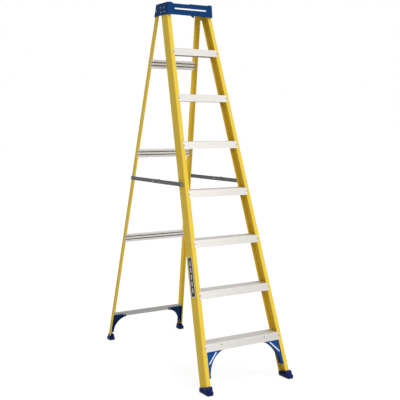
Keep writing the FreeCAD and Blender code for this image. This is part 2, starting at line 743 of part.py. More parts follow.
def rear_bottom_bar():
    length = half_width(BAR_HIGH_Z) - REAR_INSET - RAIL_WALL - 2.6
    short = half_width(BAR_HIGH_Z) - REAR_INSET - REAR_FLANGE - 2.0
    t = RAIL_WALL

    def piece(x, z0, z1, near, far):
        section = [(z0, near), (z1, near), (z1, far), (z0, far)]
        points = [Vector(-x, rear_y(z) - out, z) for z, out in section]
        return Part.Face(Part.makePolygon(points + [points[0]])).extrude(Vector(2 * x, 0, 0))

    face = piece(length, BAR_LOW_Z, BAR_HIGH_Z, t, t + BAR_WALL)
    top_lip = piece(short, BAR_HIGH_Z - 2.6, BAR_HIGH_Z, t - 10, t + 1)
    low_lip = piece(short, BAR_LOW_Z, BAR_LOW_Z + 2.6, t - 10, t + 1)
    fixings = []
    for side in SIDES.values():
        fixings += bar_fixings(side) + rear_brace_fixings(side)[1:]
    return drilled(fuse([face, top_lip, low_lip]), fixings)


def rear_brace_fixings(side):
    """First the rivet in the rail's flange, then the one in the bottom bar."""
    t = RAIL_WALL + BAR_WALL
    low = rear_spot(side, 15.0, t + REAR_BRACE_WALL, 62.0)
    grip = (t + REAR_BRACE_WALL) * math.cos(REAR_LEAN)
    z = 171.5
    high = rear_spot(side, half_width(z) - 190.0, t + REAR_BRACE_WALL, z)
    short_grip = (BAR_WALL + REAR_BRACE_WALL) * math.cos(REAR_LEAN)
    return [(low, REAR_IN * -1, grip), (high, REAR_IN * -1, short_grip)]


def rear_brace(side):
    t = RAIL_WALL
    foot = REAR_BRACE_FOOT_Z
    top = REAR_BRACE_TOP_Z
    near = t + BAR_WALL
    low_x = half_width(foot) - REAR_INSET - REAR_FLANGE - 2.0
    tip = Vector(176.0, 0, 163.0)
    arc = Part.Arc(tip, Vector(232.0, 0, 138.0), Vector(low_x, 0, foot))
    curve = [(p.x, p.z) for p in arc.toShape().discretize(12)]
    web = half_width(0) - REAR_INSET - t - 0.6
    web_foot = web - SIDE_TAPER * foot
    web_top = web - SIDE_TAPER * top
    outline = curve + [(web_foot, foot), (web_top, top), (180.0, top), (176.0, top - 4)]
    plate = sheet(rear_spot, side, outline, near, near + REAR_BRACE_WALL)
    inside = [(x + 3.2 * (0.3 + 0.7 * i / 11.0), z + 3.0 * (1 - 0.8 * i / 11.0))
              for i, (x, z) in enumerate(curve)]
    rim = sheet(rear_spot, side, curve + inside[::-1], near, near + 14.0)
    edge = sheet(rear_spot, side, [(web_foot - 3.0, foot), (web_foot, foot),
                                   (web_top, top), (web_top - 3.0, top)], near, near + 14.0)
    seat_low = half_width(foot) - REAR_INSET - REAR_FLANGE
    seat_high = half_width(BAR_LOW_Z - 2) - REAR_INSET - REAR_FLANGE
    seat_web = web - 2.2
    seat = sheet(rear_spot, side, [(seat_low, foot), (seat_web - SIDE_TAPER * foot, foot),
                                   (seat_web - SIDE_TAPER * (BAR_LOW_Z - 1), BAR_LOW_Z - 1),
                                   (seat_high, BAR_LOW_Z - 1)], t, near)
    return drilled(fuse([plate, rim, edge, seat]), rear_brace_fixings(side))


# =====================================================================
# Rear feet
# =====================================================================
def rear_foot_fixings(side):
    start = rear_spot(side, -SLEEVE_WALL - 0.1, 18.0, 27.0)
    return [(start, web_in(side), SLEEVE_WALL + 0.1 + RAIL_WALL)]


def rear_foot(side):
    wide = half_width(0) - REAR_INSET
    x0 = side * (wide + REAR_FOOT_OUT)
    x1 = side * (wide - REAR_FOOT_IN)
    y0 = REAR_FACE_Y - REAR_FOOT_FRONT
    y1 = REAR_FACE_Y + REAR_FOOT_BACK
    corners = [Vector(x0, y0, PAD_H), Vector(x0, y1, PAD_H), Vector(x1, y1, PAD_H),
               Vector(x1, y0, PAD_H)]
    base = Part.Face(rounded_wire(corners, [7, 7, 7, 7])).extrude(Vector(0, 0, SOLE_FLANGE_TOP - PAD_H))
    wall = SLEEVE_WALL
    outline = [(-wall, -wall), (REAR_FLANGE + 3.0, -wall), (REAR_FLANGE + 3.0, REAR_WEB + 6.0),
               (-wall, REAR_WEB + 6.0)]
    sleeve = slanted(rear_spot, side, outline, PAD_H, 60.0, [5, 4, 8, 5])
    above = Part.makeBox(200, 300, 80, Vector(-100, -150, 0))
    above.rotate(Vector(0, 0, 0), Vector(1, 0, 0), math.degrees(REAR_LEAN))
    above.translate(Vector(side * wide, REAR_FACE_Y - 8.0, 40.0))
    body = fuse([base, sleeve]).cut(above)
    gap = SOCKET_GAP
    t = RAIL_WALL + gap
    socket_outline = [(-gap, -gap), (REAR_FLANGE + gap, -gap), (REAR_FLANGE + gap, t), (t, t),
                      (t, REAR_WEB + gap), (-gap, REAR_WEB + gap)]
    body = body.cut(slanted(rear_spot, side, socket_outline, RAIL_FOOT_Z, 90.0,
                            [0, 0, 0, 3.0, 0, 0]))
    hollow = slanted(rear_spot, side, [(RAIL_WALL + 3.0, RAIL_WALL + 4.0),
                                       (REAR_FLANGE - 2.0, RAIL_WALL + 4.0),
                                       (REAR_FLANGE - 2.0, REAR_WEB + 2.0),
                                       (RAIL_WALL + 3.0, REAR_WEB + 2.0)], 20.0, 90.0)
    body = body.cut(hollow)
    spaces = [Part.makeCylinder(HEAD_R + 0.6, 6.0, start + inward * grip, inward)
              for start, inward, grip in rear_foot_fixings(side)]
    body = body.cut(Part.makeCompound(spaces))
    return drilled(largest(body), rear_foot_fixings(side))


def rear_pad(side):
    wide = half_width(0) - REAR_INSET
    return rubber_pad(side, wide + REAR_FOOT_OUT, wide - REAR_FOOT_IN,
                      REAR_FACE_Y - REAR_FOOT_FRONT, REAR_FACE_Y + REAR_FOOT_BACK)


# =====================================================================
# Spreaders: two flat links a side, outside the rails, that fold upwards
# =====================================================================
def front_pin_y():
    return front_y(SPREADER_Z) + 29.0


def rear_pin_y():
    return rear_y(SPREADER_Z) - REAR_WEB / 2


def knuckle_y():
    """Set back from the middle, so that the closed spreader lies beside the rails."""
    return (front_pin_y() + rear_pin_y()) / 2 + KNUCKLE_BEHIND_MIDDLE


def tail_end_y():
    """Where the rear link's tail ends and the front link carries its stud."""
    return knuckle_y() - TAIL_LENGTH


def cross_hole(side, y, radius):
    """Cutter that runs outwards from the rail's web, across both links of one side."""
    return Part.makeCylinder(radius, 20, Vector(side * half_width(SPREADER_Z), y, SPREADER_Z),
                             Vector(side, 0, 0))


def link(side, y0, y1, out, rib_out):
    """Flat bar with round ends from pin y0 to pin y1, and a pressed rib along it."""
    x = side * (half_width(SPREADER_Z) + out)
    z = SPREADER_Z
    radius = LINK_WIDTH / 2
    length = y1 - y0
    bar = Part.makeBox(LINK_WALL, length, LINK_WIDTH,
                       Vector(min(x, x + side * LINK_WALL), y0, z - radius))
    ends = [Part.makeCylinder(radius, LINK_WALL, Vector(x, y, z), Vector(side, 0, 0))
            for y in (y0, y1)]
    rib_x = x + side * (LINK_WALL - 0.2) if rib_out else x - side * (RIB_RISE - 0.2)
    crest_x = rib_x + side * RIB_RISE if rib_out else rib_x
    rib = Part.makeBox(RIB_RISE, length - 2 * RIB_SHORTER, RIB_WIDTH,
                       Vector(min(rib_x, rib_x + side * RIB_RISE), y0 + RIB_SHORTER,
                              z - RIB_WIDTH / 2))
    body = fuse([bar] + ends + [rib])
    body = body.makeChamfer(0.8, crest_edges(body, crest_x))
    return body.cut(Part.makeCompound([cross_hole(side, y, LINK_PIN_R) for y in (y0, y1)]))


def crest_edges(body, crest_x):
    """The long edges on the crest of a link's rib."""
    found = []
    for edge in body.Edges:
        box = edge.BoundBox
        on_crest = abs(box.XMax - crest_x) < 0.01 and abs(box.XMin - crest_x) < 0.01
        if on_crest and box.YLength > 100:
            found.append(edge)
    return found


def tail_and_tab(side):
    """Tail of the rear link past the knuckle, with a tab that hooks over the front link."""
    x = side * (half_width(SPREADER_Z) + REAR_LINK_OUT)
    radius = LINK_WIDTH / 2
    end_y = tail_end_y()
    edge_z = SPREADER_Z + radius
    low_x = min(x, x + side * LINK_WALL)
    tail = Part.makeBox(LINK_WALL, TAIL_LENGTH, LINK_WIDTH,
                        Vector(low_x, end_y, SPREADER_Z - radius))
    end = Part.makeCylinder(radius, LINK_WALL, Vector(x, end_y, SPREADER_Z), Vector(side, 0, 0))
    tab_top = edge_z + TAB_GAP + TAB_WALL
    ear = Part.makeBox(LINK_WALL, TAB_LENGTH, tab_top - SPREADER_Z,
                       Vector(low_x, end_y, SPREADER_Z))
    reach = FRONT_LINK_OUT - REAR_LINK_OUT + LINK_WALL
    tab = Part.makeBox(reach, TAB_LENGTH, TAB_WALL,
                       Vector(min(x, x + side * reach), end_y, edge_z + TAB_GAP))
    return [tail, end, ear, tab]


def rear_link(side):
    bar = link(side, knuckle_y(), rear_pin_y(), REAR_LINK_OUT, False)
    whole = fuse([bar] + tail_and_tab(side))
    return whole.cut(cross_hole(side, knuckle_y(), LINK_PIN_R))


def front_link(side):
    bar = link(side, front_pin_y(), knuckle_y(), FRONT_LINK_OUT, True)
    return bar.cut(cross_hole(side, tail_end_y(), HOLE_R))


def guide_button(side):
    """Round-headed stud in the front link where the rear link's tail ends."""
    rib_top = FRONT_LINK_OUT + LINK_WALL + RIB_RISE - 0.2
    outward = Vector(side, 0, 0)
    web = half_width(SPREADER_Z)
    start = Vector(side * (web + FRONT_LINK_OUT), tail_end_y(), SPREADER_Z)
    shank = Part.makeCylinder(SHANK_R, rib_top - FRONT_LINK_OUT, start, outward)
    seat = Vector(side * (web + rib_top), tail_end_y(), SPREADER_Z)
    return fuse([shank, dome(seat, outward, HEAD_R + 0.9, HEAD_H)])


def shoulder_rivet(side, y, web_x, link_out):
    """Rivet that holds a link off a rail's web: tail, shank, collar, running shank, head."""
    x_link = half_width(SPREADER_Z) + link_out
    outward = Vector(side, 0, 0)
    z = SPREADER_Z
    tail_x = web_x - RAIL_WALL - 0.5
    shank = Part.makeCylinder(LINK_PIN_R - RUNNING_GAP, x_link + LINK_WALL + 0.4 - tail_x,
                              Vector(side * tail_x, y, z), outward)
    tail = dome(Vector(side * tail_x, y, z), outward * -1, 7.0, 2.4)
    collar = Part.makeCylinder(8.0, x_link - 0.4 - (web_x + 0.6),
                               Vector(side * (web_x + 0.6), y, z), outward)
    head = dome(Vector(side * (x_link + LINK_WALL + 0.4), y, z), outward, 8.0, 3.0)
    return fuse([tail, shank, collar, head])


def knuckle_half(side, link_out, outside):
    """Half of the knuckle rivet, set in one link's end and stopping inside that link."""
    y, z = knuckle_y(), SPREADER_Z
    x0 = half_width(SPREADER_Z) + link_out
    outward = Vector(side, 0, 0)
    core = Part.makeCylinder(LINK_PIN_R - RUNNING_GAP, LINK_WALL, Vector(side * x0, y, z), outward)
    if outside:
        head = dome(Vector(side * (x0 + LINK_WALL), y, z), outward, 8.0, 3.0)
    else:
        head = dome(Vector(side * x0, y, z), outward * -1, 7.0, 2.4)
    return fuse([core, head])


# =====================================================================
# Write every piece
# =====================================================================
os.makedirs("parts", exist_ok=True)

save(top_cap(), "top_cap")
for number in range(1, STEP_COUNT + 1):
    save(step(number), "step_%d" % number)

step_rivet_fixings = []
cap_rivet_fixings = []
lower_rivet_fixings = []
rear_rivet_fixings = []
hinge_pins = []
front_pins = []
rear_pins = []
for name, side in SIDES.items():
    save(front_rail(side), "front_rail_" + name)
    save(front_brace(side), "front_brace_" + name)
    save(front_foot(side), "front_foot_" + name)
    save(front_pad(side), "front_pad_" + name)
    save(hinge_plate(side), "hinge_plate_" + name)
    save(rear_rail(side), "rear_rail_" + name)
    save(rear_brace(side), "rear_brace_" + name)
    save(rear_foot(side), "rear_foot_" + name)
    save(rear_pad(side), "rear_pad_" + name)
    save(front_link(side), "front_link_" + name)
    save(rear_link(side), "rear_link_" + name)
    front_studs = [knuckle_half(side, FRONT_LINK_OUT, True), guide_button(side)]
    save(Part.makeCompound(front_studs), "front_knuckle_" + name)
    save(knuckle_half(side, REAR_LINK_OUT, False), "rear_knuckle_" + name)
    for number in range(1, STEP_COUNT + 1):
        save(step_bracket(side, number), "step_bracket_%d_%s" % (number, name))
        step_rivet_fixings += bracket_fixings(side, number) + apron_fixings(side, number)
    cap_rivet_fixings += cap_fixings(side)
    lower_rivet_fixings += brace_fixings(side) + foot_fixings(side)
    for middle in HORIZONTAL_Z.values():
        rear_rivet_fixings += horizontal_fixings(side, middle)
    rear_rivet_fixings += bar_fixings(side) + rear_brace_fixings(side) + rear_foot_fixings(side)
    hinge_pins.append(hinge_pin(side))
    web = half_width(SPREADER_Z)
    front_pins.append(shoulder_rivet(side, front_pin_y(), web, FRONT_LINK_OUT))
    rear_pins.append(shoulder_rivet(side, rear_pin_y(), web - REAR_INSET, REAR_LINK_OUT))

for name, middle in HORIZONTAL_Z.items():
    save(rear_horizontal(middle), "rear_horizontal_" + name)
save(rear_bottom_bar(), "rear_bottom_bar")
save(rivets(step_rivet_fixings), "step_rivets")
save(rivets(cap_rivet_fixings), "cap_rivets")
save(rivets(lower_rivet_fixings), "front_lower_rivets")
save(rivets(rear_rivet_fixings), "rear_rivets")
save(Part.makeCompound(hinge_pins), "hinge_pins")
save(Part.makeCompound(front_pins), "spreader_pivots_front")
save(Part.makeCompound(rear_pins), "spreader_pivots_rear")

print("pivot", round(pivot_y(), 2), PIVOT_Z)
print("spreader pins", round(front_pin_y(), 2), round(knuckle_y(), 2), round(rear_pin_y(), 2))
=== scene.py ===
import math

import bmesh
import bpy
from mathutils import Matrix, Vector


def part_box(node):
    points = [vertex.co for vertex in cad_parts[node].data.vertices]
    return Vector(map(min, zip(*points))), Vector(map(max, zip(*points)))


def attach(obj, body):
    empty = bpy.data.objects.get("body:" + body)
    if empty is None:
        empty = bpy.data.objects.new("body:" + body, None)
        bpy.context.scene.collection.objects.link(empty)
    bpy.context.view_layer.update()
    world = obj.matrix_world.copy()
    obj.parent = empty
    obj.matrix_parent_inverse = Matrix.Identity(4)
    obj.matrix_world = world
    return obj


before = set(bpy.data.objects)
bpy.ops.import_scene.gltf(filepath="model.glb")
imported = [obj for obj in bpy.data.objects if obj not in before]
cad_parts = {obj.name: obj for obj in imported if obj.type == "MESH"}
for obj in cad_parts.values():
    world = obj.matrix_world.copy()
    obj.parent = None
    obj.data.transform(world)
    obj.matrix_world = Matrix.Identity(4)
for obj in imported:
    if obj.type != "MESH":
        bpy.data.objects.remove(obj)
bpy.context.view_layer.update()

# The looks of an eight-foot fibreglass step ladder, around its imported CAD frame.
# Metres, +Z up, the climbing side faces -Y.

MM = 0.001

# ---- the ladder's own directions, as the frame has them ----
FRONT_LEAN = math.radians(17.5)
REAR_LEAN = math.radians(12.5)
SIDE_TAPER = 0.0611
RAIL_DEPTH = 78.6 * MM
SIDES = {"left": -1, "right": 1}

LABEL_LOW_Z = 526 * MM
LABEL_HIGH_Z = 755 * MM
LABEL_INK = (0.012, 0.012, 0.013)

RAIL_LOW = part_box("front_rail_left")[0]
CAP_LOW, CAP_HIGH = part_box("top_cap")


def half_width(z):
    """Half the distance between the webs' outer faces at height z."""
    return -RAIL_LOW.x - SIDE_TAPER * (z - RAIL_LOW.z)


def front_y(z):
    """Front plane of the front rails at height z."""
    return RAIL_LOW.y + math.tan(FRONT_LEAN) * (z - RAIL_LOW.z)


# =====================================================================
# Shader helpers
# =====================================================================
def start_material(name, color, roughness, metallic=0.0):
    material = bpy.data.materials.new(name)
    material.use_nodes = True
    material.diffuse_color = (*color, 1.0)
    shader = material.node_tree.nodes["Principled BSDF"]
    shader.inputs["Base Color"].default_value = (*color, 1.0)
    shader.inputs["Roughness"].default_value = roughness
    shader.inputs["Metallic"].default_value = metallic
    return material, material.node_tree, shader


def coordinates(tree, scale, rotation=(0, 0, 0)):
    """Object coordinates, turned and then stretched."""
    source = tree.nodes.new("ShaderNodeTexCoord")
    turn = tree.nodes.new("ShaderNodeMapping")
    turn.inputs["Rotation"].default_value = rotation
    tree.links.new(source.outputs["Object"], turn.inputs["Vector"])
    stretch = tree.nodes.new("ShaderNodeMapping")
    stretch.inputs["Scale"].default_value = scale
    tree.links.new(turn.outputs["Vector"], stretch.inputs["Vector"])
    return stretch.outputs["Vector"]


def noise(tree, vector, scale, detail=4.0, roughness=0.55, distortion=0.0):
    made = tree.nodes.new("ShaderNodeTexNoise")
    made.inputs["Scale"].default_value = scale
    made.inputs["Detail"].default_value = detail
    made.inputs["Roughness"].default_value = roughness
    made.inputs["Distortion"].default_value = distortion
    tree.links.new(vector, made.inputs["Vector"])
    return made.outputs["Fac"]


def spread(tree, value, low, high, start=0.3, stop=0.7):
    """Map value from start..stop to low..high."""
    made = tree.nodes.new("ShaderNodeMapRange")
    made.inputs["From Min"].default_value = start
    made.inputs["From Max"].default_value = stop
    made.inputs["To Min"].default_value = low
    made.inputs["To Max"].default_value = high
    tree.links.new(value, made.inputs["Value"])
    return made.outputs["Result"]


def calculate(tree, operation, first, second):
    made = tree.nodes.new("ShaderNodeMath")
    made.operation = operation
    for socket, value in zip(made.inputs, (first, second)):
        if isinstance(value, (int, float)):
            socket.default_value = value
        else:
            tree.links.new(value, socket)
    return made.outputs["Value"]


def mix_colors(tree, factor, first, second):
    made = tree.nodes.new("ShaderNodeMix")
    made.data_type = "RGBA"
    tree.links.new(factor, made.inputs["Factor"])
    for socket, value in ((made.inputs[6], first), (made.inputs[7], second)):
        if isinstance(value, tuple):
            socket.default_value = (*value, 1.0)
        else:
            tree.links.new(value, socket)
    return made.outputs[2]


def bump(tree, shader, height, strength, distance, below=None):
    made = tree.nodes.new("ShaderNodeBump")
    made.inputs["Strength"].default_value = strength
    made.inputs["Distance"].default_value = distance
    tree.links.new(height, made.inputs["Height"])
    if below is not None:
        tree.links.new(below, made.inputs["Normal"])
    tree.links.new(made.outputs["Normal"], shader.inputs["Normal"])
    return made.outputs["Normal"]


# =====================================================================
# Materials
# =====================================================================
def fibreglass(name, lean, color, deep):
    """Pultruded fibreglass: streaks along the pull, a faint mat pattern, a resin gloss."""
    material, tree, shader = start_material(name, color, 0.36)
    along = coordinates(tree, (300.0, 300.0, 3.2), (lean, 0, 0))
    streaks = noise(tree, along, 1.0, detail=5.0, roughness=0.62)
    mat = noise(tree, coordinates(tree, (1.0, 1.0, 0.45), (lean, 0, 0)), 95.0, detail=6.0,
                roughness=0.7, distortion=1.4)
    clouds = noise(tree, coordinates(tree, (1.0, 1.0, 0.3)), 7.0, detail=2.0)
    tone = mix_colors(tree, spread(tree, streaks, 0.0, 0.55), color, deep)
    pale = tuple(min(1.0, c * 1.07 + 0.006) for c in color)
    tone = mix_colors(tree, spread(tree, mat, 0.0, 0.45, 0.45, 0.75), tone, pale)
    tone = mix_colors(tree, spread(tree, clouds, 0.0, 0.28), tone, deep)
    tree.links.new(tone, shader.inputs["Base Color"])
    rough = calculate(tree, "ADD", spread(tree, streaks, 0.30, 0.44),
                      spread(tree, mat, -0.03, 0.04))
    tree.links.new(rough, shader.inputs["Roughness"])
    fine = bump(tree, shader, streaks, 0.22, 0.00035)
    bump(tree, shader, mat, 0.12, 0.0003, fine)
    shader.inputs["Specular IOR Level"].default_value = 0.16
    shader.inputs["Coat Weight"].default_value = 0.04
    shader.inputs["Coat Roughness"].default_value = 0.22
    return material


def drawn_aluminium(name, color, rough_low, rough_high, metallic=0.92):
    """Extruded or rolled aluminium: die lines along X, faint smudges from handling."""
    material, tree, shader = start_material(name, color, rough_low, metallic)
    lines = noise(tree, coordinates(tree, (2.4, 620.0, 620.0)), 1.0, detail=5.0, roughness=0.65)
    bands = noise(tree, coordinates(tree, (0.9, 120.0, 120.0)), 1.0, detail=2.0)
    smudge = noise(tree, coordinates(tree, (1.0, 1.6, 1.6)), 11.0, detail=4.0, distortion=0.6)
    dull = tuple(c * 0.86 for c in color)
    tone = mix_colors(tree, spread(tree, bands, 0.0, 0.5), color, dull)
    tone = mix_colors(tree, spread(tree, smudge, 0.0, 0.35, 0.45, 0.75), tone, dull)
    tree.links.new(tone, shader.inputs["Base Color"])
    rough = spread(tree, lines, rough_low, rough_high)
    rough = calculate(tree, "ADD", rough, spread(tree, smudge, -0.03, 0.07))
    tree.links.new(rough, shader.inputs["Roughness"])
    bump(tree, shader, lines, 0.25, 0.00025)
    shader.inputs["Anisotropic"].default_value = 0.35
    return material


def frame_position(tree):
    """X, Y and Z in the ladder's frame at rest, which the meshes are stored in."""
    source = tree.nodes.new("ShaderNodeTexCoord")
    split = tree.nodes.new("ShaderNodeSeparateXYZ")
    tree.links.new(source.outputs["Object"], split.inputs["Vector"])
    return split.outputs["X"], split.outputs["Y"], split.outputs["Z"]


def moulded(name, color, lift, rough_low, rough_high, gloss, grain=1700.0):
    """Injection-moulded plastic: eroded grain, faint flow marks, a soft sheen."""
    material, tree, shader = start_material(name, color, rough_low)
    shader.inputs["Specular IOR Level"].default_value = gloss
    fine = noise(tree, coordinates(tree, (1.0, 1.0, 1.0)), grain, detail=3.0)
    flow = noise(tree, coordinates(tree, (1.0, 1.0, 1.0)), 24.0, detail=4.0, distortion=2.2)
    tone = mix_colors(tree, spread(tree, flow, 0.0, 0.6), color, lift)
    tree.links.new(tone, shader.inputs["Base Color"])
    rough = calculate(tree, "ADD", spread(tree, fine, rough_low, rough_high),
                      spread(tree, flow, -0.03, 0.05))
    tree.links.new(rough, shader.inputs["Roughness"])
    bump(tree, shader, fine, 0.28, 0.00022)
    return material


def moulded_rubber(name, color):
    material, tree, shader = start_material(name, color, 0.7)
    fine = noise(tree, coordinates(tree, (1.0, 1.0, 1.0)), 900.0, detail=4.0)
    dust = noise(tree, coordinates(tree, (1.0, 1.0, 1.0)), 45.0, detail=4.0)
    tone = mix_colors(tree, spread(tree, dust, 0.0, 0.5, 0.5, 0.8), color, (0.07, 0.07, 0.075))
    tree.links.new(tone, shader.inputs["Base Color"])
    tree.links.new(spread(tree, fine, 0.62, 0.84), shader.inputs["Roughness"])
    bump(tree, shader, fine, 0.35, 0.0004)
    return material


def coated_steel(name, color, metallic, rough_low, rough_high):
    """Plated or coated flat steel with rolling marks along Y."""
    material, tree, shader = start_material(name, color, rough_low, metallic)
    marks = noise(tree, coordinates(tree, (700.0, 6.0, 700.0)), 1.0, detail=4.0)
    blotch = noise(tree, coordinates(tree, (1.0, 1.0, 1.0)), 60.0, detail=5.0, distortion=0.8)
    pale = tuple(min(1.0, c * 1.35 + 0.02) for c in color)
    tone = mix_colors(tree, spread(tree, blotch, 0.0, 0.6), color, pale)
    tree.links.new(tone, shader.inputs["Base Color"])
    rough = calculate(tree, "ADD", spread(tree, marks, rough_low, rough_high),
                      spread(tree, blotch, -0.05, 0.05))
    tree.links.new(rough, shader.inputs["Roughness"])
    bump(tree, shader, marks, 0.2, 0.0002)
    return material


def rivet_metal(name, color):
    material, tree, shader = start_material(name, color, 0.32, 0.95)
    scuff = noise(tree, coordinates(tree, (1.0, 1.0, 1.0)), 420.0, detail=5.0, distortion=1.0)
    tone = mix_colors(tree, spread(tree, scuff, 0.0, 0.7), color, tuple(c * 0.72 for c in color))
    tree.links.new(tone, shader.inputs["Base Color"])
    tree.links.new(spread(tree, scuff, 0.25, 0.45), shader.inputs["Roughness"])
    bump(tree, shader, scuff, 0.2, 0.0002)
    return material


def paint_shade_behind(material, color, depth):
    """Painted shade: turn the base colour to color from depth behind the front plane backwards,
    standing in for the shade that falls there.
    """
    tree = material.node_tree
    base = tree.nodes["Principled BSDF"].inputs["Base Color"]
    _, y, z = frame_position(tree)
    back = calculate(tree, "SUBTRACT", y, calculate(tree, "MULTIPLY", z, math.tan(FRONT_LEAN)))
    start = front_y(0.0) + depth
    # painted shade: how far the darker tone takes over, by depth behind the front plane
    shade_amount = spread(tree, back, 0.0, 1.0, start, start + 5 * MM)
    tree.links.new(mix_colors(tree, shade_amount, base.links[0].from_socket, color), base)


# painted shade: the two valleys of each rear horizontal get a darker metal tone standing in for
# the shade inside them
VALLEY_OFFSET = 9.8 * MM
VALLEY_REACH = (2.4 * MM, 4.2 * MM)
PAINTED_VALLEY_SHADE = (0.26, 0.24, 0.21)


def ridged_strip(node):
    """Bright metal of a rear horizontal, with painted shade in the two valleys between its
    ridges.
    """
    material = drawn_aluminium(node + "_aluminium", (0.93, 0.915, 0.885), 0.34, 0.50, 0.65)
    tree = material.node_tree
    base = tree.nodes["Principled BSDF"].inputs["Base Color"]
    low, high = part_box(node)
    _, _, z = frame_position(tree)
    rise = calculate(tree, "SUBTRACT", z, (low.z + high.z) / 2)
    valley = calculate(tree, "SUBTRACT", calculate(tree, "ABSOLUTE", rise, 0.0), VALLEY_OFFSET)
    away = calculate(tree, "ABSOLUTE", valley, 0.0)
    # painted shade: how deep in a valley each point lies
    shade_in_valley = spread(tree, away, 1.0, 0.0, *VALLEY_REACH)
    tree.links.new(mix_colors(tree, shade_in_valley, base.links[0].from_socket, PAINTED_VALLEY_SHADE), base)
    return material


HEAD_MARGIN = 1.5 * MM
BOOT_TOP = 80 * MM


def painted_at_webs(material, paint):
    """Paint the heads outside the rails' webs, black where the label lies over them."""
    tree = material.node_tree
    shader = tree.nodes["Principled BSDF"]
    base = shader.inputs["Base Color"]
    x, _, z = frame_position(tree)
    reach = calculate(tree, "ADD", calculate(tree, "ABSOLUTE", x, 0.0),
                      calculate(tree, "MULTIPLY", z, SIDE_TAPER))
    edge = half_width(0.0) - HEAD_MARGIN
    painted = spread(tree, reach, 0.0, 1.0, edge, edge + 0.5 * MM)
    above_boot = spread(tree, z, 0.0, 1.0, BOOT_TOP, BOOT_TOP + 10 * MM)
    painted = calculate(tree, "MULTIPLY", painted, above_boot)
    at_label = calculate(tree, "MULTIPLY", spread(tree, x, 1.0, 0.0, 0.0, 1 * MM),
                         spread(tree, z, 0.0, 1.0, LABEL_LOW_Z, LABEL_LOW_Z + 1 * MM))
    at_label = calculate(tree, "MULTIPLY", at_label,
                         spread(tree, z, 1.0, 0.0, LABEL_HIGH_Z, LABEL_HIGH_Z + 1 * MM))
    cover = mix_colors(tree, at_label, paint, LABEL_INK)
    tree.links.new(mix_colors(tree, painted, base.links[0].from_socket, cover), base)
    tree.links.new(spread(tree, painted, 0.95, 0.0, 0.0, 1.0), shader.inputs["Metallic"])


def printed_film(name, color, roughness):
    """Printed vinyl: slight mottling and the faint orange peel of the film."""
    material, tree, shader = start_material(name, color, roughness)
    peel = noise(tree, coordinates(tree, (1.0, 1.0, 1.0)), 520.0, detail=3.0)
    mottle = noise(tree, coordinates(tree, (1.0, 1.0, 1.0)), 70.0, detail=3.0)
    other = tuple(min(1.0, c * 1.12 + 0.004) for c in color)
    tree.links.new(mix_colors(tree, spread(tree, mottle, 0.0, 1.0), color, other),
                   shader.inputs["Base Color"])
    tree.links.new(spread(tree, peel, roughness - 0.05, roughness + 0.06),
                   shader.inputs["Roughness"])
    bump(tree, shader, peel, 0.12, 0.0002)
    return material


YELLOW = (0.87, 0.615, 0.062)
YELLOW_DEEP = (0.79, 0.535, 0.042)
FRONT_GLASS = fibreglass("front_fibreglass", FRONT_LEAN, YELLOW, YELLOW_DEEP)
REAR_GLASS = fibreglass("rear_fibreglass", -REAR_LEAN, YELLOW, YELLOW_DEEP)
STEP_METAL = drawn_aluminium("step_aluminium", (0.80, 0.775, 0.735), 0.34, 0.50)
HORIZONTAL_METALS = {node: ridged_strip(node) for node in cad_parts
                     if node.startswith("rear_horizontal")}
BAR_METAL = drawn_aluminium("bar_aluminium", (0.62, 0.62, 0.61), 0.40, 0.55)
BRACKET_METAL = drawn_aluminium("bracket_aluminium", (0.80, 0.80, 0.79), 0.36, 0.52)
CAP_BLUE = moulded("cap_plastic", (0.001, 0.038, 0.145), (0.002, 0.052, 0.190),
                   0.36, 0.48, 0.10)
BRACE_BLUE = moulded("brace_plastic", (0.004, 0.058, 0.255), (0.006, 0.078, 0.330),
                     0.36, 0.48, 0.14)
FOOT_NAVY = moulded("foot_plastic", (0.002, 0.010, 0.100), (0.004, 0.016, 0.140),
                    0.34, 0.46, 0.16)
SOLE_RUBBER = moulded_rubber("sole_rubber", (0.020, 0.022, 0.034))
SPREADER_STEEL = coated_steel("spreader_steel", (0.155, 0.16, 0.165), 0.35, 0.42, 0.58)
PLATE_STEEL = coated_steel("plate_steel", (0.50, 0.50, 0.49), 0.95, 0.32, 0.48)
PIVOT_STEEL = rivet_metal("pivot_steel", (0.55, 0.55, 0.54))
RIVET = rivet_metal("rivet_aluminium", (0.74, 0.74, 0.73))
RAIL_RIVET = rivet_metal("rail_rivet", (0.42, 0.41, 0.40))
painted_at_webs(RAIL_RIVET, (0.62, 0.43, 0.040))
# painted shade: a darker tone stands in for the shade on the hollow side of the front braces and
# on the whole of the rear braces
paint_shade_behind(BRACE_BLUE, (0.001, 0.018, 0.085), 6 * MM)
LABEL_BLACK = printed_film("label_black", LABEL_INK, 0.32)
LABEL_PALE = printed_film("label_pale", (0.86, 0.86, 0.84), 0.38)
STRIP_PALE = printed_film("strip_pale", (0.70, 0.77, 0.84), 0.38)


def node_material(node):
    """The material of a CAD node, from the words in its name."""
    if node == "top_cap":
        return CAP_BLUE
    if node == "rear_bottom_bar":
        return BAR_METAL
    if "brace" in node:
        return BRACE_BLUE
    if "foot" in node:
        return FOOT_NAVY
    if "pad" in node:
        return SOLE_RUBBER
    if node.startswith("front_rail"):
        return FRONT_GLASS
    if node.startswith("rear_rail"):
        return REAR_GLASS
    if node in HORIZONTAL_METALS:
        return HORIZONTAL_METALS[node]
    if "link" in node:
        return SPREADER_STEEL
    if "knuckle" in node or "pivot" in node or node == "hinge_pins":
        return PIVOT_STEEL
    if "hinge_plate" in node:
        return PLATE_STEEL
    if node in ("step_rivets", "front_lower_rivets"):
        return RAIL_RIVET
    if "rivets" in node:
        return RIVET
    if "bracket" in node:
        return BRACKET_METAL
    return STEP_METAL


for node_name, node_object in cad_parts.items():
    node_object.data.materials.clear()
    node_object.data.materials.append(node_material(node_name))


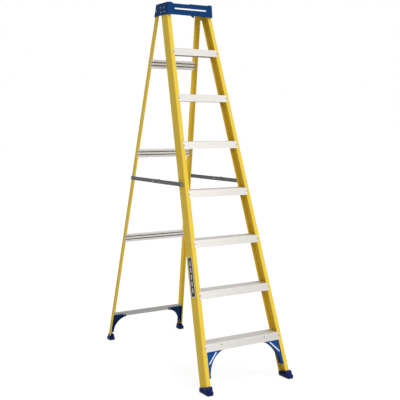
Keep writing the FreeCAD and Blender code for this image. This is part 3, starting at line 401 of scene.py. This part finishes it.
# =====================================================================
# Mesh helpers
# =====================================================================
def add_piece(name, build, material, body):
    """Make an object from a bmesh that build fills in, and let it ride on a body."""
    mesh = bpy.data.meshes.new(name)
    work = bmesh.new()
    build(work)
    bmesh.ops.recalc_face_normals(work, faces=work.faces)
    work.to_mesh(mesh)
    work.free()
    piece = bpy.data.objects.new(name, mesh)
    bpy.context.scene.collection.objects.link(piece)
    mesh.materials.append(material)
    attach(piece, body)
    return piece


def plate(work, outline, rise, soften=0.0):
    """Closed plate: an outline of points, raised by the vector rise, its top edge softened."""
    low = [work.verts.new(point) for point in outline]
    high = [work.verts.new(point + rise) for point in outline]
    count = len(outline)
    work.faces.new(low[::-1])
    work.faces.new(high)
    top_edges = []
    for i in range(count):
        j = (i + 1) % count
        work.faces.new((low[i], low[j], high[j], high[i]))
        top_edges.append(work.edges.get((high[i], high[j])))
    if soften > 0:
        bmesh.ops.bevel(work, geom=top_edges, offset=soften, segments=2, profile=0.6,
                        affect="EDGES")


def rounded_bar(centre, along, across, length, width, corner=None, steps=6):
    """Outline of a bar with round corners, as points in the plane of along and across."""
    radius = min(width, length) / 2 if corner is None else corner
    points = []
    for i, (sx, sy) in enumerate(((1, 1), (-1, 1), (-1, -1), (1, -1))):
        middle = centre + along * sx * (length / 2 - radius) + across * sy * (width / 2 - radius)
        for k in range(steps + 1):
            angle = math.pi / 2 * (i + k / steps)
            points.append(middle + along * radius * math.cos(angle)
                          + across * radius * math.sin(angle))
    return points


# =====================================================================
# Label on the outside of the left front rail
# =====================================================================
LABEL_WIDTH = 47 * MM
LABEL_FILM = 0.25 * MM
LABEL_BORDER = 4 * MM
LABEL_END = 40 * MM
LABEL_BARS = 5


def label_frame():
    """Centre of the label, the direction up the rail, across it, and out of the web."""
    middle_z = (LABEL_LOW_Z + LABEL_HIGH_Z) / 2
    out = Vector((-1, 0, SIDE_TAPER)).normalized()
    up = Vector((SIDE_TAPER, math.tan(FRONT_LEAN), 1)).normalized()
    across = out.cross(up).normalized()
    centre = Vector((-half_width(middle_z), front_y(middle_z) + RAIL_DEPTH / 2, middle_z))
    length = (LABEL_HIGH_Z - LABEL_LOW_Z) / up.z
    return centre, up, across, out, length


def build_label(width, length, lift, corner):
    centre, up, across, out, _ = label_frame()

    def build(work):
        start = centre + out * lift
        plate(work, rounded_bar(start, up, across, length, width, corner), out * LABEL_FILM,
              LABEL_FILM * 0.4)
    return build


def build_label_bars(work):
    """Plain bars down the middle of the label."""
    centre, up, across, out, length = label_frame()
    start = centre + out * LABEL_FILM * 2.0
    pitch = (length - LABEL_END) / LABEL_BARS
    for i in range(LABEL_BARS):
        spot = start + up * pitch * (i - (LABEL_BARS - 1) / 2)
        plate(work, rounded_bar(spot, up, across, pitch * 0.72, 9 * MM, 1.5 * MM),
              out * LABEL_FILM, LABEL_FILM * 0.4)


LABEL_LENGTH = label_frame()[4]
add_piece("rail_label_border", build_label(LABEL_WIDTH, LABEL_LENGTH, 0.0, 9 * MM), LABEL_PALE,
          "front_frame")
add_piece("rail_label_face",
          build_label(LABEL_WIDTH - 2 * LABEL_BORDER, LABEL_LENGTH - 2 * LABEL_BORDER,
                      LABEL_FILM, 7 * MM), LABEL_BLACK, "front_frame")
add_piece("rail_label_bars", build_label_bars, LABEL_PALE, "front_frame")


# =====================================================================
# Plain pale stripe on the cap's front
# =====================================================================
STRIPE_LENGTH = 232 * MM
STRIPE_WIDTH = 9 * MM
CAP_DRAFT = 0.02


def build_cap_stripe(work):
    height = (CAP_LOW.z + CAP_HIGH.z) / 2
    face_y = CAP_LOW.y + (height - CAP_LOW.z) * CAP_DRAFT
    centre = Vector((0, face_y, height))
    outline = rounded_bar(centre, Vector((1, 0, 0)), Vector((0, CAP_DRAFT, 1)).normalized(),
                          STRIPE_LENGTH, STRIPE_WIDTH, 3 * MM)
    plate(work, outline, Vector((0, -0.3 * MM, 0)), 0.12 * MM)


add_piece("cap_stripe", build_cap_stripe, LABEL_PALE, "front_frame")


# =====================================================================
# Pale strips on the braces under the bottom step
# =====================================================================
BRACE_FACE = 4.2 * MM
STRIP_WIDTH = 7.5 * MM
STRIP_TOP = (193 * MM, 220 * MM)
STRIP_FOOT = (253 * MM, 160 * MM)
BEAD_WIDTH = 3.2 * MM
BEAD_RISE = 1.4 * MM
BEAD_INSET = 0.6 * MM
BEAD_TIP = (146 * MM, 225 * MM)
BEAD_MIDDLE = (210 * MM, 188 * MM)
BEAD_LOW = (half_width(84 * MM) - 40 * MM, 86 * MM)
BEAD_PARTS = 24
OUT_OF_FACE = Vector((0, -1, math.tan(FRONT_LEAN))).normalized()


def on_brace_face(side, x, z):
    return Vector((side * x, front_y(z) + BRACE_FACE, z))


def build_brace_strip(side, grow, rise):
    """Bar with round ends on a brace's face, grow wider and longer than the pale strip."""
    def build(work):
        top = on_brace_face(side, *STRIP_TOP)
        foot = on_brace_face(side, *STRIP_FOOT)
        along = (foot - top).normalized()
        across = OUT_OF_FACE.cross(along).normalized()
        outline = rounded_bar((top + foot) / 2, along, across, (foot - top).length + grow,
                              STRIP_WIDTH + grow)
        plate(work, outline, OUT_OF_FACE * rise, 0.15 * MM)
    return build


def circle_through(first, second, third):
    """Centre and radius of the circle through three points (x, z)."""
    (ax, az), (bx, bz), (cx, cz) = first, second, third
    double = 2 * (ax * (bz - cz) + bx * (cz - az) + cx * (az - bz))
    a2, b2, c2 = ax * ax + az * az, bx * bx + bz * bz, cx * cx + cz * cz
    x = (a2 * (bz - cz) + b2 * (cz - az) + c2 * (az - bz)) / double
    z = (a2 * (cx - bx) + b2 * (ax - cx) + c2 * (bx - ax)) / double
    return x, z, math.hypot(ax - x, az - z)


def build_brace_bead(side):
    """Raised bead along the hollow edge of a brace."""
    x, z, radius = circle_through(BEAD_TIP, BEAD_MIDDLE, BEAD_LOW)
    start = math.atan2(BEAD_TIP[1] - z, BEAD_TIP[0] - x)
    stop = math.atan2(BEAD_LOW[1] - z, BEAD_LOW[0] - x)
    angles = [start + (stop - start) * i / BEAD_PARTS for i in range(BEAD_PARTS + 1)]

    def build(work):
        rings = []
        for reach in (radius + BEAD_INSET, radius + BEAD_INSET + BEAD_WIDTH):
            rings.append([on_brace_face(side, x + reach * math.cos(angle),
                                        z + reach * math.sin(angle)) for angle in angles])
        plate(work, rings[0] + rings[1][::-1], OUT_OF_FACE * BEAD_RISE, 0.5 * MM)
    return build


for side_name, side_sign in SIDES.items():
    add_piece("brace_strip_rim_" + side_name, build_brace_strip(side_sign, 3.6 * MM, 0.35 * MM),
              CAP_BLUE, "front_frame")
    add_piece("brace_strip_" + side_name, build_brace_strip(side_sign, 0.0, 0.8 * MM),
              STRIP_PALE, "front_frame")
    add_piece("brace_bead_" + side_name, build_brace_bead(side_sign), BRACE_BLUE,
              "front_frame")


# =====================================================================
# Floor, light and camera
# =====================================================================
SKY_LIGHT = 0.47
BRIGHT_SKY = 0.85
BRIGHT_AZIMUTH = 35.0
BRIGHT_ELEVATION = 25.0
FLOOR_GLOW = 0.79
LENS = 68.12
EYE = (-2.512, -4.224, 1.532)
EYE_SIDE = (-31.347, 5.611)


def direction(azimuth, elevation):
    """Unit vector towards an azimuth, counted from -Y towards +X, and an elevation."""
    turn, rise = math.radians(azimuth), math.radians(elevation)
    return Vector((math.sin(turn) * math.cos(rise), -math.cos(turn) * math.cos(rise),
                   math.sin(rise)))


def floor_material():
    """Pale floor that stays nearly white where it is seen, and throws little light back up."""
    material, tree, shader = start_material("pale_floor", (0.72, 0.72, 0.72), 0.9)
    shader.inputs["Specular IOR Level"].default_value = 0.0
    seen = tree.nodes.new("ShaderNodeBsdfPrincipled")
    seen.inputs["Base Color"].default_value = (0.30, 0.30, 0.30, 1.0)
    seen.inputs["Roughness"].default_value = 0.9
    seen.inputs["Specular IOR Level"].default_value = 0.0
    seen.inputs["Emission Color"].default_value = (1.0, 1.0, 1.0, 1.0)
    seen.inputs["Emission Strength"].default_value = FLOOR_GLOW
    path = tree.nodes.new("ShaderNodeLightPath")
    choose = tree.nodes.new("ShaderNodeMixShader")
    tree.links.new(path.outputs["Is Camera Ray"], choose.inputs["Fac"])
    tree.links.new(shader.outputs["BSDF"], choose.inputs[1])
    tree.links.new(seen.outputs["BSDF"], choose.inputs[2])
    tree.links.new(choose.outputs["Shader"], tree.nodes["Material Output"].inputs["Surface"])
    return material


def studio_world():
    """White backdrop for the camera; for lighting, a soft sky that is brighter to one side."""
    world = bpy.data.worlds.new("studio")
    world.use_nodes = True
    tree = world.node_tree
    soft = tree.nodes["Background"]
    soft.inputs["Color"].default_value = (1.0, 1.0, 1.0, 1.0)
    source = tree.nodes.new("ShaderNodeTexCoord")
    facing = tree.nodes.new("ShaderNodeVectorMath")
    facing.operation = "DOT_PRODUCT"
    tree.links.new(source.outputs["Generated"], facing.inputs[0])
    facing.inputs[1].default_value = direction(BRIGHT_AZIMUTH, BRIGHT_ELEVATION)
    glow = spread(tree, facing.outputs["Value"], SKY_LIGHT, BRIGHT_SKY, 0.35, 0.95)
    tree.links.new(glow, soft.inputs["Strength"])
    backdrop = tree.nodes.new("ShaderNodeBackground")
    backdrop.inputs["Color"].default_value = (1.0, 1.0, 1.0, 1.0)
    path = tree.nodes.new("ShaderNodeLightPath")
    choose = tree.nodes.new("ShaderNodeMixShader")
    tree.links.new(path.outputs["Is Camera Ray"], choose.inputs["Fac"])
    tree.links.new(soft.outputs["Background"], choose.inputs[1])
    tree.links.new(backdrop.outputs["Background"], choose.inputs[2])
    tree.links.new(choose.outputs["Shader"], tree.nodes["World Output"].inputs["Surface"])
    bpy.context.scene.world = world


def studio_floor():
    floor_mesh = bpy.data.meshes.new("floor")
    work = bmesh.new()
    bmesh.ops.create_grid(work, x_segments=1, y_segments=1, size=40.0)
    work.to_mesh(floor_mesh)
    work.free()
    floor = bpy.data.objects.new("floor", floor_mesh)
    bpy.context.scene.collection.objects.link(floor)
    floor_mesh.materials.append(floor_material())


def overhead(strength, azimuth, elevation, softness):
    light = bpy.data.lights.new("overhead", "SUN")
    light.energy = strength
    light.angle = math.radians(softness)
    lamp = bpy.data.objects.new("overhead", light)
    lamp.rotation_euler = direction(azimuth, elevation).to_track_quat("Z", "Y").to_euler()
    bpy.context.scene.collection.objects.link(lamp)


def area_light(name, place, target, size, power):
    light = bpy.data.lights.new(name, "AREA")
    light.shape = "DISK"
    light.size = size
    light.energy = power
    lamp = bpy.data.objects.new(name, light)
    lamp.location = place
    lamp.rotation_euler = (Vector(target) - Vector(place)).to_track_quat("-Z", "Y").to_euler()
    bpy.context.scene.collection.objects.link(lamp)


def camera():
    data = bpy.data.cameras.new("camera")
    data.lens = LENS
    data.sensor_width = 36.0
    eye = bpy.data.objects.new("camera", data)
    eye.location = EYE
    eye.rotation_euler = direction(*EYE_SIDE).to_track_quat("Z", "Y").to_euler()
    bpy.context.scene.collection.objects.link(eye)
    bpy.context.scene.camera = eye


studio_floor()
studio_world()
area_light("key", (-0.3, -6.0, 4.2), (0, 0, 1.1), 3.0, 120)
overhead(0.7, 25, 72, 40)
camera()
bpy.context.scene.view_settings.view_transform = "Standard"
